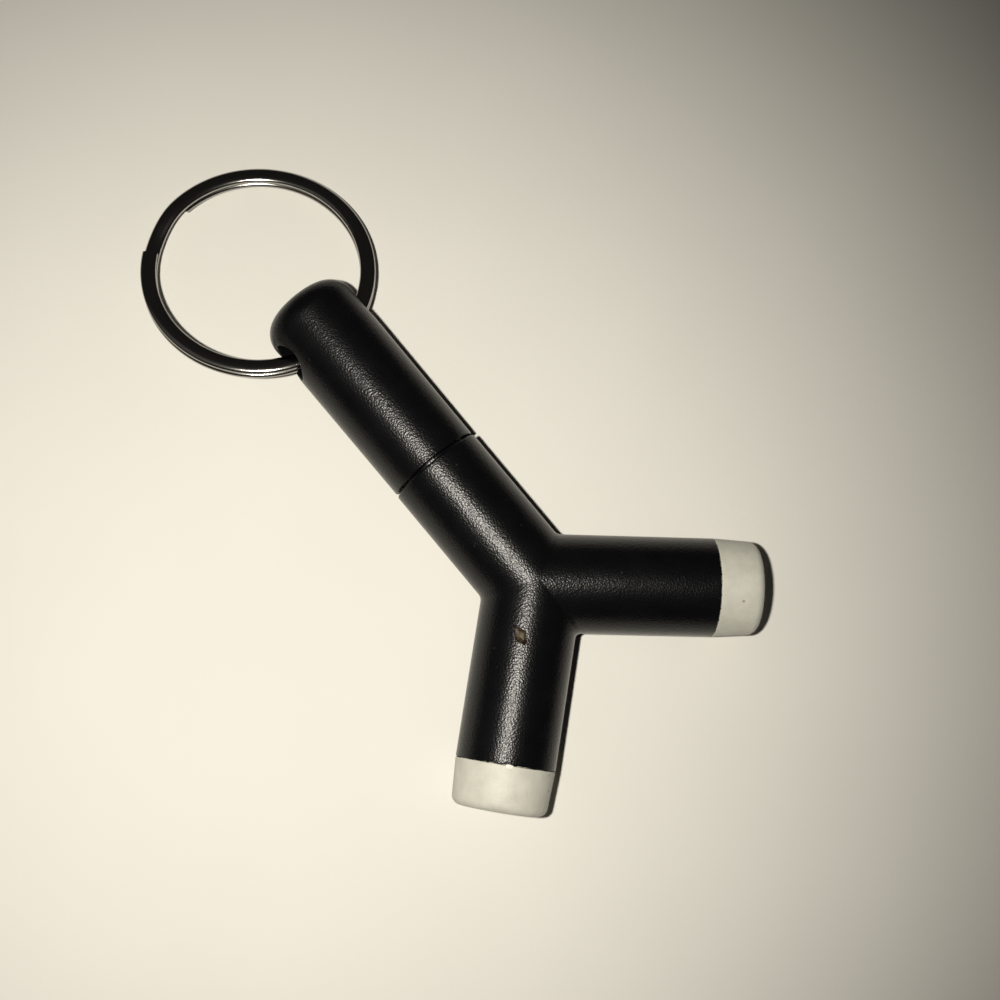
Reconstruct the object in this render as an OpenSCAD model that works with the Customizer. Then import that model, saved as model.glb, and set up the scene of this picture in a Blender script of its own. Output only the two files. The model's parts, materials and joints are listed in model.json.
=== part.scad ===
// Keyring headphone splitter: a Y-shaped moulded body with a 3.5 mm plug under
// a pull-off cap and a 3.5 mm socket in each arm. The cap hangs on a split ring.
// The object lies flat on Z = 0, the stem and the cap along +Y, and the origin
// is under the middle of its box.

/* [Body] */
// Outside diameter of the stem, the arms and the cap
tube_d = 10.5; // [10:0.1:12]
// Angle of each arm from the stem's axis, measured back from -Y
arm_angle = 49; // [44:1:54]
// Length of the stem from the arms' crossing to the seam with the cap
stem_len = 16.25; // [16:0.05:18]
// Length of each black arm from the crossing to its white collar
arm_len = 19.1; // [19:0.1:21]
// Thickness of the black outer moulding
skin = 1.35; // [1.2:0.05:1.5]
// Diameter of the neck that locates the cap
neck_d = 8; // [7:0.1:8.4]
// Length of the neck
neck_len = 1; // [0.8:0.1:1.2]
// Distance of the chip in the left arm's skin from the crossing
chip_s = 6; // [5.2:0.1:6.2]
// Distance of the chip from the arm's top line, towards its outer side
chip_side = 1; // [0:0.1:1.2]

/* [Collars] */
// Length of a white collar
collar_len = 4.8; // [4.5:0.1:5.5]
// Diameter of a collar at its face
collar_face_d = 9.9; // [9.6:0.1:10.2]
// Radius of the rounding round a collar's face
collar_round = 0.95; // [0.6:0.05:1.1]

/* [Sockets] */
// Bore of each socket, for a 3.5 mm plug
bore_d = 3.6; // [3.56:0.01:3.64]
// Depth of each socket from its mouth
bore_len = 14.5; // [14.3:0.1:14.6]
// Outside diameter of the socket's sleeve contact
bush_d = 5.2; // [5:0.1:5.4]
// Thickness of the sprung contacts
leaf_t = 0.25; // [0.2:0.05:0.3]
// Width of the sprung contacts
leaf_w = 1; // [0.8:0.1:1.1]

/* [Plug] */
// Diameter of the plug
plug_d = 3.5; // [3.48:0.01:3.5]
// Length of the plug from its shoulder to its tip
plug_len = 14; // [13.8:0.1:14]

/* [Wires] */
// Outside diameter of an insulated wire
wire_d = 0.9; // [0.7:0.1:1]
// Distance of the upper and lower rows of wires from the middle
wire_row = 2.4; // [2.3:0.05:2.5]

/* [Cap] */
// Length of the cap
cap_len = 23.3; // [23.2:0.1:24]
// Gap between the body and the cap
cap_gap = 0.3; // [0.2:0.05:0.4]
// Radius of the rounding at the cap's closed end
cap_round = 2.6; // [2.5:0.1:3.8]
// Rise of the cap's slightly domed end
cap_dome = 0.35; // [0.2:0.05:0.5]
// Turn of the cap and its cross hole about the stem, as it lies
cap_roll = 8; // [0:1:9]
// Diameter of the cross hole for the split ring
ring_hole_d = 4.4; // [4.4:0.05:4.6]
// Distance of the cross hole from the seam
ring_hole_y = 18.35; // [18.35:0.05:18.8]

/* [Split ring] */
// Outside diameter of the split ring
ring_od = 25.4; // [25:0.1:26]
// Radial width of the ring's flattened wire
ring_w = 1.7; // [1.5:0.1:1.7]
// Thickness of the two turns together
ring_t = 1.7; // [1.5:0.1:1.7]
// Angle at which the upper turn starts
ring_start = 132; // [90:1:150]
// Angle over which the wire steps from one turn to the other
ring_step = 30; // [24:1:40]

/* [Hidden] */
$fn = 64;

tube_r = tube_d / 2;
core_r = tube_r - skin;
hub_r = core_r - 0.3;               // room round the wires where the limbs cross
fit = 0.02;                         // clearance between moulded inner pieces
eps = 0.01;

// Stations along an arm, measured from the crossing
mouth_s = arm_len + collar_len;
bore_end_s = mouth_s - bore_len;
bush_back_s = arm_len - 1.2;        // back of the sleeve contact's flange
bush_flange = 0.4;
housing_s = bore_end_s - 0.9;       // back of the socket's housing
tail_s = 6.9;                       // back end of the contacts' tails
mould_s = 6.4;                      // reach of the inner mould into an arm
mould_y = 7.4;                      // reach of the inner mould into the stem
solder_len = 0.5;

// Stations along the stem, measured from the crossing
shoulder_y = stem_len + neck_len;
plug_end_y = shoulder_y + plug_len;
ring_front_y = plug_end_y - 3.9;    // front of the plug's ring contact
ring_back_y = plug_end_y - 6.2;
insul_t = 0.7;                      // thickness of the plug's insulating rings
flange_y = stem_len - 2;            // back of the plug's flange
flange_t = 0.8;
lug_y = 8.2;                        // back end of the plug's terminals
plug_r = plug_d / 2;
rod_r = 0.5;                        // rod of the tip
rod_skin_r = 0.7;                   // insulating tube round it
ring_tube_r = 0.95;                 // tube of the ring contact
ring_skin_r = 1.15;                 // insulating tube round that
ring_flange_y = flange_y - 2;       // back of the ring tube's flange

// The split ring rests in its hole at one side and on the ground at the other.
// It lies in the cap's own frame, which is turned about the stem by cap_roll.
ring_pitch = 8.4;
ring_reach = 10.95;                   // from the cross hole to the ring's centre
ring_side = -0.6;
ring_gap = 0.06;                    // hairline between the two turns
ring_edge = 0.28;                   // rounding of the flattened wire
ring_mid_r = (ring_od - ring_w) / 2;
turn_t = (ring_t - ring_gap) / 2;
ring_ny = sin(ring_pitch);
ring_nz = cos(ring_pitch) * cos(cap_roll);

// How far a flat round disc with rounded edges reaches along an axis that
// makes a cosine of n with its own
function disc_reach(n) =
    (ring_od / 2 - ring_edge) * sqrt(1 - n * n) + (ring_t / 2 - ring_edge) * n + ring_edge;

hole_y = stem_len + ring_hole_y;
ring_cy = hole_y + ring_reach * cos(ring_pitch);
ring_drop = (disc_reach(ring_nz) - tube_r + ring_side * sin(cap_roll)) / cos(cap_roll);

// The origin is under the middle of the whole object's box
front_y = ring_cy + disc_reach(ring_ny);
back_y = -((mouth_s - collar_round) * cos(arm_angle)
           + (collar_face_d / 2 - collar_round) * sin(arm_angle) + collar_round);
origin_y = (front_y + back_y) / 2;

// Stands the children on the ground, with the crossing at its place
module placed() translate([0, -origin_y, tube_r]) children();

// Turns Z to the stem's axis, +Y
module along_stem() rotate([-90, 0, 0]) children();

// Turns Z to an arm's axis and +X to the arm's outer side; side is 1 or -1
module along_arm(side) mirror([side < 0 ? 1 : 0, 0, 0])
    rotate([0, 0, arm_angle]) rotate([90, 0, 0]) children();

module rod(r, from, to) translate([0, 0, from]) cylinder(r = r, h = to - from);

// ---- Moulded pieces ----

// Outline of a round bar from one station to another, with rounded end edges
module bar_profile(r, from, to, round_from, round_to) {
    difference() {
        translate([0, from]) square([r, to - from]);
        translate([r - round_from, from]) edge_cut(round_from, 0);
        translate([r - round_to, to]) edge_cut(round_to, 1);
    }
}

// The corner that a rounding of radius c takes away; top is 1 for an upper edge
module edge_cut(c, top) mirror([0, top]) difference() {
    translate([0, -1]) square([c + 1, c + 1]);
    translate([0, c]) circle(r = c);
    translate([-1, c]) square([c + 1, 1]);
}

// The room round the wires where the limbs cross. Its three round limbs differ a
// little in radius, so that their walls cross instead of only touching.
module crossing(grow) {
    along_stem() rod(hub_r + grow, 0, mould_y + grow);
    along_arm(1) rod(hub_r - 0.05 + grow, 0, mould_s + grow);
    along_arm(-1) rod(hub_r - 0.1 + grow, 0, mould_s + grow);
}

module y_body() color([0.07, 0.07, 0.08]) placed() difference() {
    union() {
        along_stem() rod(tube_r, 0, stem_len);
        along_stem() rod(neck_d / 2, stem_len - 1, shoulder_y);
        for (side = [1, -1]) along_arm(side) rod(tube_r, 0, arm_len);
    }
    crossing(fit);
    along_stem() rod(core_r, mould_y, flange_y + flange_t);
    along_stem() rod(plug_r + eps, stem_len - 2, shoulder_y + 1);
    for (side = [1, -1]) along_arm(side) rod(core_r, mould_s, arm_len + 1);
    along_arm(-1) chip();
}

// A four-sided chip through the skin on top of the arm, which bares the inner mould
module chip() translate([chip_side, 0, chip_s]) rotate([-90, 0, 0])
    linear_extrude(tube_r + 1) polygon([[0.7, 0.9], [-0.5, 0.5], [-0.7, -0.9], [0.5, -0.5]]);

module inner_mould() color([0.55, 0.38, 0.26]) placed() difference() {
    crossing(0);
    for (side = [1, -1]) for (row = [-1, 0, 1]) wire_shape(side, row, wire_d / 2 + fit, 1);
}

module collar(side) color([0.93, 0.93, 0.9]) placed() along_arm(side) difference() {
    union() {
        rotate_extrude() intersection() {
            polygon([[0, arm_len], [tube_r, arm_len], [collar_face_d / 2, mouth_s], [0, mouth_s]]);
            bar_profile(collar_face_d / 2 + 0.3, arm_len, mouth_s + 0.02, 0.05, collar_round);
        }
        rod(core_r - fit, bush_back_s + bush_flange + fit, arm_len + 1);
    }
    rod(bush_d / 2 + fit, 0, mouth_s + 1);
    rod(bush_d / 2 + 0.5 + fit, mouth_s - 0.4 - fit, mouth_s + 1);
}

// ---- Sockets ----

// Cuts a straight channel for a strip, outwards from the bore
module channel(from, to, inner, outer) translate([inner, -leaf_w / 2 - 0.1, from])
    cube([outer - inner, leaf_w + 0.2, to - from]);

// The ring contact sits below the bore, the sleeve contact's tail above it
// and the tip contact beside it
module ring_turn() rotate([0, 0, 90]) children();
module sleeve_turn() rotate([0, 0, -90]) children();

module socket_housing(side) color([0.16, 0.15, 0.14]) placed() along_arm(side) difference() {
    rod(core_r - fit, housing_s, bush_back_s - fit);
    rod(bore_d / 2, bore_end_s, mouth_s);
    channel(housing_s - 1, 13.8, 1.5, core_r + 1);
    ring_turn() channel(housing_s - 1, 16.9, 1.5, core_r + 1);
    sleeve_turn() channel(housing_s - 1, mouth_s, wire_row - leaf_t / 2 - 0.05, core_r + 1);
}

module sleeve_contact(side) color([0.8, 0.78, 0.72]) placed() along_arm(side) {
    difference() {
        union() {
            rod(bush_d / 2, bush_back_s, mouth_s);
            rod(core_r - 2 * fit, bush_back_s, bush_back_s + bush_flange);
            rod(bush_d / 2 + 0.5, mouth_s - 0.4, mouth_s);
        }
        rod(bore_d / 2, 0, mouth_s + 1);
    }
    sleeve_turn() translate([wire_row - leaf_t / 2, -leaf_w / 2, tail_s])
        cube([leaf_t, leaf_w, bush_back_s - tail_s]);
}

// A sprung strip: a flat tail, a crank and a rounded dip that meets the plug
module leaf(dip_s, free_s) {
    dip_x = bore_d / 2 + 0.05;
    free_x = dip_x + 0.4;
    path = [[wire_row - leaf_t / 2, tail_s], [wire_row - leaf_t / 2, dip_s - 1.6],
            [dip_x + 0.1, dip_s - 0.5], [dip_x, dip_s], [dip_x + 0.1, dip_s + 0.5],
            [free_x, free_s]];
    back = [for (i = [len(path) - 1:-1:0]) path[i] + [leaf_t, 0]];
    rotate([90, 0, 0]) translate([0, 0, -leaf_w / 2])
        linear_extrude(leaf_w) polygon(concat(path, back));
}

module ring_contact(side) color([0.82, 0.72, 0.42]) placed() along_arm(side)
    ring_turn() leaf(15.4, 16.7);

module tip_contact(side) color([0.82, 0.72, 0.42]) placed() along_arm(side)
    leaf(12.3, 13.6);

// ---- Plug ----

module plug_sleeve() color([0.8, 0.78, 0.72]) placed() {
    along_stem() difference() {
        union() {
            rod(plug_r, flange_y, ring_back_y - insul_t);
            rod(core_r - fit, flange_y, flange_y + flange_t);
        }
        rod(1.35, flange_y - 1, plug_end_y);
    }
    translate([-leaf_w / 2, lug_y, wire_row - leaf_t / 2])
        cube([leaf_w, flange_y - lug_y + 0.1, leaf_t]);
}

module plug_ring() color([0.8, 0.78, 0.72]) placed() {
    along_stem() difference() {
        union() {
            rod(plug_r, ring_back_y, ring_front_y);
            rod(ring_tube_r, ring_flange_y, ring_front_y);
            rod(wire_row - leaf_t / 2 - 0.1, ring_flange_y, ring_flange_y + 0.3);
        }
        rod(rod_skin_r + 0.05, 0, plug_end_y);
    }
    translate([-leaf_w / 2, ring_flange_y, -wire_row - leaf_t / 2])
        cube([leaf_w, 0.3, 0.8]);
    translate([-leaf_w / 2, lug_y, -wire_row - leaf_t / 2])
        cube([leaf_w, ring_flange_y - lug_y + 0.1, leaf_t]);
}

// The tip's ball, its waist and the rod that carries the signal to the back
module plug_tip() color([0.8, 0.78, 0.72]) placed() along_stem() {
    front = plug_end_y - 3.9 + insul_t;
    rotate_extrude() polygon([[0, front], [plug_r, front], [plug_r, front + 0.35],
        [1.3, front + 0.95], [1.65, front + 1.6], [plug_r - 0.02, front + 1.85],
        [1.62, front + 2.15], [0.75, plug_end_y - 0.12], [0.45, plug_end_y],
        [0, plug_end_y]]);
    rod(rod_r, lug_y, front + 0.1);
}

module plug_front_insulator() color([0.1, 0.1, 0.1]) placed() along_stem() difference() {
    union() {
        rod(plug_r - 0.03, ring_front_y, ring_front_y + insul_t);
        rod(rod_skin_r, ring_flange_y - 0.6, ring_front_y + insul_t);
    }
    rod(rod_r + eps, 0, plug_end_y);
}

module plug_rear_insulator() color([0.1, 0.1, 0.1]) placed() along_stem() difference() {
    union() {
        rod(plug_r - 0.03, ring_back_y - insul_t, ring_back_y);
        rod(ring_skin_r + 0.15, ring_flange_y + 0.3, ring_back_y);
    }
    rod(ring_tube_r + eps, 0, plug_end_y);
}

// Block that holds the plug's terminals apart behind its flange
module plug_base() color([0.82, 0.8, 0.74]) placed() difference() {
    along_stem() rod(core_r - fit, lug_y + 0.9, flange_y - fit);
    along_stem() rod(ring_skin_r + 0.15 + eps, ring_flange_y - 0.62, flange_y + 1);
    along_stem() rod(rod_r + eps, 0, flange_y);
    along_stem() rod(wire_row + leaf_t / 2 + eps, ring_flange_y - eps, ring_flange_y + 0.3 + eps);
    for (row = [-1, 1]) translate([-leaf_w / 2 - eps, 0, row * wire_row - leaf_t / 2 - eps])
        cube([leaf_w + 2 * eps, row > 0 ? stem_len : ring_flange_y + 0.2, leaf_t + 2 * eps]);
}

// ---- Wires ----

// Middle line of a wire: from the plug's terminal, past the crossing, to the
// socket's terminal. Row 1 is the sleeve, 0 the tip and -1 the ring.
function wire_path(side, row) =
    let (z = row * wire_row,
         out = row == 0 ? wire_row : 0,
         s = tail_s - solder_len)
    [[side * 0.6, lug_y - solder_len, z],
     [side * (row == 0 ? 1.3 : 0.75), row == 0 ? 2.6 : 1.6, z],
     [side * ((s - 2) * sin(arm_angle) + out * cos(arm_angle)),
      -(s - 2) * cos(arm_angle) + out * sin(arm_angle), z],
     [side * (s * sin(arm_angle) + out * cos(arm_angle)),
      -s * cos(arm_angle) + out * sin(arm_angle), z]];

// Direction of a wire's plan at point i: the mean of the links before and after it
function heading(p, i) =
    let (last = len(p) - 1,
         before = i > 0 ? unit(p[i] - p[i - 1]) : unit(p[1] - p[0]),
         after = i < last ? unit(p[i + 1] - p[i]) : before)
    (before + after) / (1 + before * after);

function unit(v) = v / norm(v);

// A round wire with sharp mitred bends along a level path; extra lengthens both ends
module wire_shape(side, row, r, extra) {
    plain = wire_path(side, row);
    n = len(plain);
    p = [for (i = [0:n - 1]) plain[i] + extra * (i == 0 ? unit(plain[0] - plain[1])
        : i == n - 1 ? unit(plain[n - 1] - plain[n - 2]) : [0, 0, 0])];
    sides = 10;
    points = [for (i = [0:n - 1]) let (h = heading(p, i)) for (j = [0:sides - 1])
        let (a = 360 * j / sides) p[i] + r * [h.y * cos(a), -h.x * cos(a), sin(a)]];
    faces = concat(
        [[for (j = [sides - 1:-1:0]) j]],
        [[for (j = [0:sides - 1]) (n - 1) * sides + j]],
        [for (i = [0:n - 2]) for (j = [0:sides - 1])
            [i * sides + j, i * sides + (j + 1) % sides,
             (i + 1) * sides + (j + 1) % sides, (i + 1) * sides + j]]);
    polyhedron(points, faces, convexity = 4);
}

module wire(side, row) placed() wire_shape(side, row, wire_d / 2, 0);

// Solder between a wire's bare end and its terminal
module solder_plug() color([0.75, 0.75, 0.77]) placed()
    for (side = [1, -1]) for (row = [-1, 0, 1]) translate(wire_path(side, row)[0])
        along_stem() cylinder(r = 0.5, h = solder_len);

module solder_socket(side) color([0.75, 0.75, 0.77]) placed()
    for (row = [-1, 0, 1]) translate(wire_path(side, row)[3])
        along_arm(side) cylinder(r = 0.5, h = solder_len);

// ---- Cap and split ring ----

// Half outline of the cap, closed end up: a wide flat dome with a rounded rim
module cap_profile() {
    base = stem_len + cap_gap;
    tip = base + cap_len;
    dome_r = (pow(tube_r - cap_round, 2) + cap_dome * cap_dome) / (2 * cap_dome);
    difference() {
        union() {
            bar_profile(tube_r, base, tip - cap_dome, 0.2, cap_round);
            intersection() {
                translate([0, tip - dome_r]) circle(r = dome_r, $fn = 128);
                translate([0, tip - cap_dome - eps]) square([tube_r - cap_round, cap_dome + eps]);
            }
        }
        translate([-2 * dome_r, base - 1]) square([2 * dome_r, cap_len + 2]);
    }
}

module cap() color([0.06, 0.06, 0.07]) placed() difference() {
    along_stem() rotate_extrude() cap_profile();
    along_stem() rod(neck_d / 2 + 0.3, stem_len, shoulder_y + 0.3);
    along_stem() rod(plug_r + 0.08, stem_len, plug_end_y + 0.35);
    rotate([0, cap_roll, 0]) translate([-tube_r - 1, hole_y, 0]) rotate([0, 90, 0])
        cylinder(r = ring_hole_d / 2, h = tube_d + 2);
}

// Section of the flattened wire about its own middle, with its edges broken;
// grow is 0 for the turns and less for the step, which ends inside them
function wire_section(grow) =
    let (x = ring_w / 2 + grow, y = turn_t / 2 + grow, c = ring_edge)
    [[x, y - c], [x - c, y], [c - x, y], [-x, y - c], [-x, c - y], [c - x, -y], [x - c, -y],
     [x, c - y]];

// The stretch where the wire sinks from the upper turn to the lower one
module ring_cross() {
    rings = 12;
    lap = 1.5;
    level = (ring_gap + turn_t) / 2;
    section = wire_section(-0.02);
    n = len(section);
    points = [for (i = [0:rings]) let (
            a = ring_start - ring_step - lap + i / rings * (ring_step + 2 * lap),
            u = min(1, max(0, (a - ring_start + ring_step) / ring_step)),
            z = level * cos(180 * u))
        for (p = section) [(ring_mid_r + p.x) * cos(a), (ring_mid_r + p.x) * sin(a), z + p.y]];
    faces = concat(
        [[for (j = [n - 1:-1:0]) j]],
        [[for (j = [0:n - 1]) rings * n + j]],
        [for (i = [0:rings - 1]) for (j = [0:n - 1])
            [i * n + j, i * n + (j + 1) % n, (i + 1) * n + (j + 1) % n, (i + 1) * n + j]]);
    polyhedron(points, faces, convexity = 4);
}

module split_ring() color([0.72, 0.72, 0.74]) placed() rotate([0, cap_roll, 0])
    translate([ring_side, ring_cy, ring_drop]) rotate([-ring_pitch, 0, 0]) {
        for (level = [1, -1]) rotate([0, 0, ring_start])
            rotate_extrude(angle = 360 - ring_step)
                translate([ring_mid_r, level * (ring_gap + turn_t) / 2])
                    polygon(wire_section(0));
        ring_cross();
    }

y_body();
inner_mould();
collar(1);  // collar_right
collar(-1);  // collar_left
socket_housing(1);  // socket_housing_right
socket_housing(-1);  // socket_housing_left
sleeve_contact(1);  // sleeve_contact_right
sleeve_contact(-1);  // sleeve_contact_left
ring_contact(1);  // ring_contact_right
ring_contact(-1);  // ring_contact_left
tip_contact(1);  // tip_contact_right
tip_contact(-1);  // tip_contact_left
plug_sleeve();
plug_ring();
plug_tip();
plug_front_insulator();
plug_rear_insulator();
plug_base();
color([0.8, 0.68, 0.4]) wire(1, 1);  // wire_sleeve_right
color([0.8, 0.68, 0.4]) wire(-1, 1);  // wire_sleeve_left
color([0.7, 0.12, 0.1]) wire(1, -1);  // wire_ring_right
color([0.7, 0.12, 0.1]) wire(-1, -1);  // wire_ring_left
color([0.9, 0.9, 0.88]) wire(1, 0);  // wire_tip_right
color([0.9, 0.9, 0.88]) wire(-1, 0);  // wire_tip_left
solder_plug();
solder_socket(1);  // solder_right
solder_socket(-1);  // solder_left
cap();
split_ring();
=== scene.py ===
# %% [markdown]
# # A keyring headphone splitter
# A black moulded Y with a jack plug under a pull-off cap, a socket behind a white
# collar in each arm, and a split ring through the cap. The imported CAD model gives
# every place and size; this script makes what is seen of it. First the frame is
# loaded. The looks may not grow past it.

# %% Load the frame
import json
import math

import bmesh
import bpy
import numpy as np
from mathutils import Matrix, Vector, noise


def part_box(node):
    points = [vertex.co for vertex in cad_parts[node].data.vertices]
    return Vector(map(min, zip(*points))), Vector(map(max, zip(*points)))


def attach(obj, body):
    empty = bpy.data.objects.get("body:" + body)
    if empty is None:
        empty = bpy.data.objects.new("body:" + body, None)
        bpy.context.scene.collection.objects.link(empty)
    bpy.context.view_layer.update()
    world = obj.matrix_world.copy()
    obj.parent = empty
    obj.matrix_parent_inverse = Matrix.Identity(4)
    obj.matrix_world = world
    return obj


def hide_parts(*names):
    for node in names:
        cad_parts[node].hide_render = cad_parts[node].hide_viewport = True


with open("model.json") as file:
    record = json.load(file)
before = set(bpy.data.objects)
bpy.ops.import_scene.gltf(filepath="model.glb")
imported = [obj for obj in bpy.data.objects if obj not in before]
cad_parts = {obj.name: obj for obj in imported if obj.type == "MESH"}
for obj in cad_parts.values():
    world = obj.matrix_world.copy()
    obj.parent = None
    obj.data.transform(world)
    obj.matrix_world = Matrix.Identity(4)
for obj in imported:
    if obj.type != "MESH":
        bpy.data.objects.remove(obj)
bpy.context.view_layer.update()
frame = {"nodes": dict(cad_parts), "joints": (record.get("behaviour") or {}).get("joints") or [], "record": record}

MM = 0.001

# %% [markdown]
# ## Reading the design
# The object is three round limbs whose axes cross at one point. The record's
# mounts and joints hold those axes: a socket's mouth and direction, the plug's
# shoulder, and the hinge line through the cap's cross hole. Everything else is
# measured as a station along one of the axes, in millimetres from the crossing.

# %% Axes and the crossing
mounts = {m["name"]: m for m in frame["record"]["mounts"]}
joints = {j["name"]: j for j in frame["joints"]}
mouth = Vector(mounts["socket_right"]["pos_m"])
arm_axis = Vector(mounts["socket_right"]["axis"]).normalized()
CROSS = mouth - arm_axis * (mouth.x / arm_axis.x)
UP = Vector((0, 0, 1))
STEM = Vector((0, 1, 0))
ARM_ANGLE = math.atan2(arm_axis.x, -arm_axis.y)


class Limb:
    """A limb's axis and its side direction in the plan, for points in millimetres."""

    def __init__(self, axis, side):
        self.axis, self.side = axis, side

    def place(self, station, side, up):
        """World points from arrays of station, side and height."""
        s, x, z = np.broadcast_arrays(station, side, up)
        flat = s[..., None] * self.axis + x[..., None] * self.side + z[..., None] * UP
        return np.array(CROSS) + MM * flat

    def reach(self, node):
        """The first and last station of a CAD node along this limb."""
        points = np.array([v.co for v in frame["nodes"][node].data.vertices])
        along = (points - np.array(CROSS)) @ np.array(self.axis) / MM
        return along.min(), along.max()


right = Limb(arm_axis, Vector((-arm_axis.y, arm_axis.x, 0)))
left = Limb(Vector((-arm_axis.x, arm_axis.y, 0)), Vector((arm_axis.y, arm_axis.x, 0)))
stem = Limb(STEM, Vector((1, 0, 0)))
ARMS = {"right": right, "left": left}
print("crossing:", [round(x / MM, 2) for x in CROSS], "arm angle", round(math.degrees(ARM_ANGLE), 1))

# %% Stations and radii
BLACK_WALL = 1.35                   # the black skin's thickness at an arm's end
COLLAR_LONG = 4.8                   # what shows of a collar
NECK_LONG = 1.0                     # from the seam to the plug's shoulder
TUBE_R = (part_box("y_body")[1].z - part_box("y_body")[0].z) / 2 / MM
CORE_R = TUBE_R - BLACK_WALL
MOUTH_S = (mouth - CROSS).length / MM
ARM_END = MOUTH_S - COLLAR_LONG
SHOULDER = (mounts["plug"]["pos_m"][1] - CROSS.y) / MM
SEAM = SHOULDER - NECK_LONG
CAP_BASE, CAP_TIP = stem.reach("cap")
HOLE = (joints["ring_swing"]["pos_m"][1] - CROSS.y) / MM
HINGE = Vector(joints["ring_swing"]["axis"]).normalized()
BORE_R = mounts["socket_right"]["dims"]["r_mm"]
PLUG_R = mounts["plug"]["dims"]["r_mm"]
print(f"tube r {TUBE_R:.2f}, arm end {ARM_END:.2f}, mouth {MOUTH_S:.2f}, seam {SEAM:.2f}")
print(f"cap {CAP_BASE:.2f} to {CAP_TIP:.2f}, cross hole at {HOLE:.2f}")

# %% [markdown]
# ## The camera
# It looks almost straight down from a hand's breadth above the table, a little
# from the left, and turned so that the stem runs up to the left. It is made first,
# so that every later step can be looked at.

# %% Camera
CAMERA_AT = Vector((-20.7, CROSS.y / MM - 0.77, 152.9)) * MM
TURN, TIP, LEAN = math.radians(-39.95), math.radians(3.77), math.radians(-9.11)
LENS, SENSOR = 50.45, 36.0
camera = bpy.data.objects.new("camera", bpy.data.cameras.new("camera"))
bpy.context.scene.collection.objects.link(camera)
camera.data.lens = LENS
camera.data.sensor_width = SENSOR
camera.data.clip_start = 5 * MM
leaned = Matrix.Rotation(LEAN, 4, "Y") @ Matrix.Rotation(TIP, 4, "X")
camera.matrix_world = Matrix.Translation(CAMERA_AT) @ leaned @ Matrix.Rotation(TURN, 4, "Z")
bpy.context.scene.camera = camera
print("camera height:", round(camera.location.z / MM, 1), "mm")

# %% [markdown]
# ## Writing materials as sums
# A procedural material is arithmetic on coordinates. A small class wraps a node's
# output, so that `1 - mask * 0.5` builds the Math nodes by itself, and one method
# makes any other node from its type, its settings and the values of its inputs.

# %% The socket class
class Value:
    """A shader socket that can be added, multiplied, and taken from a number."""

    def __init__(self, shader, socket):
        self.shader, self.socket = shader, socket

    def math(self, operation, a, b):
        return self.shader.node("ShaderNodeMath", dict(operation=operation), {0: a, 1: b})

    def __add__(self, other):
        return self.math("ADD", self, other)

    def __rsub__(self, other):
        return self.math("SUBTRACT", other, self)

    def __mul__(self, other):
        return self.math("MULTIPLY", self, other)

    __radd__ = __add__
    __rmul__ = __mul__


class Shader:
    """One material's node tree, written from its coordinates to its surface."""

    def __init__(self, name):
        self.material = bpy.data.materials.new(name)
        self.material.use_nodes = True
        self.tree = self.material.node_tree
        self.tree.nodes.clear()
        self.coords = self.node("ShaderNodeTexCoord", {}, {}, "Object")

    def node(self, kind, settings, values, output=0):
        """A node from its type, its settings, and the values or links of its sockets."""
        made = self.tree.nodes.new(kind)
        for key, value in settings.items():
            setattr(made, key, value)
        for key, value in values.items():
            if isinstance(value, Value):
                self.tree.links.new(value.socket, made.inputs[key])
            else:
                made.inputs[key].default_value = value
        return Value(self, made.outputs[output])

    def shifted(self, seed):
        """The piece's coordinates moved by a seed in metres, so that patterns differ."""
        return self.node("ShaderNodeMapping", {}, {"Vector": self.coords, "Location": (seed,) * 3})

    def noise(self, size_mm, detail=2.0, seed=0.0):
        """Soft noise whose lumps are about size_mm across."""
        return self.node("ShaderNodeTexNoise", {}, {"Vector": self.shifted(seed),
                         "Scale": 1 / (size_mm * MM), "Detail": detail})

    def cells(self, size_mm, seed=0.0):
        """Distance to the nearest centre of Voronoi cells about size_mm across."""
        return self.node("ShaderNodeTexVoronoi", {}, {"Vector": self.shifted(seed),
                         "Scale": 1 / (size_mm * MM)}, "Distance")

    def step(self, value, low, high):
        """0 below low, 1 above high, and a smooth rise between."""
        return self.node("ShaderNodeMapRange", dict(interpolation_type="SMOOTHSTEP"),
                         {"Value": value, "From Min": low, "From Max": high})

    def mix(self, factor, a, b):
        """Colour a where factor is 0 and b where it is 1."""
        values = {0: factor, 6: a, 7: b}        # the Mix node's colour sockets are 6 and 7
        return self.node("ShaderNodeMix", dict(data_type="RGBA"), values, 2)

    def bump(self, height, distance_mm, strength):
        """A normal tilted by a height pattern that rises distance_mm from 0 to 1."""
        return self.node("ShaderNodeBump", {}, {"Height": height, "Distance": distance_mm * MM,
                                                "Strength": strength})

    def surface(self, values):
        """Ends the tree in a Principled shader and returns the material."""
        bsdf = self.node("ShaderNodeBsdfPrincipled", {}, values)
        out = self.tree.nodes.new("ShaderNodeOutputMaterial")
        self.tree.links.new(bsdf.socket, out.inputs["Surface"])
        return self.material


def colour(r, g, b):
    """An opaque colour from linear red, green and blue."""
    return (r, g, b, 1.0)


print("material writer ready")

# %% [markdown]
# ## Black moulded plastic
# The mould for the Y and the cap was spark eroded, which leaves a fine even grain
# of shallow craters. Each crater wall catches the light on its own, so a highlight
# breaks up into sparkle. Cells of about a fifth of a millimetre give the craters,
# and a finer noise roughens them. Handling has polished the crests a little.

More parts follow.
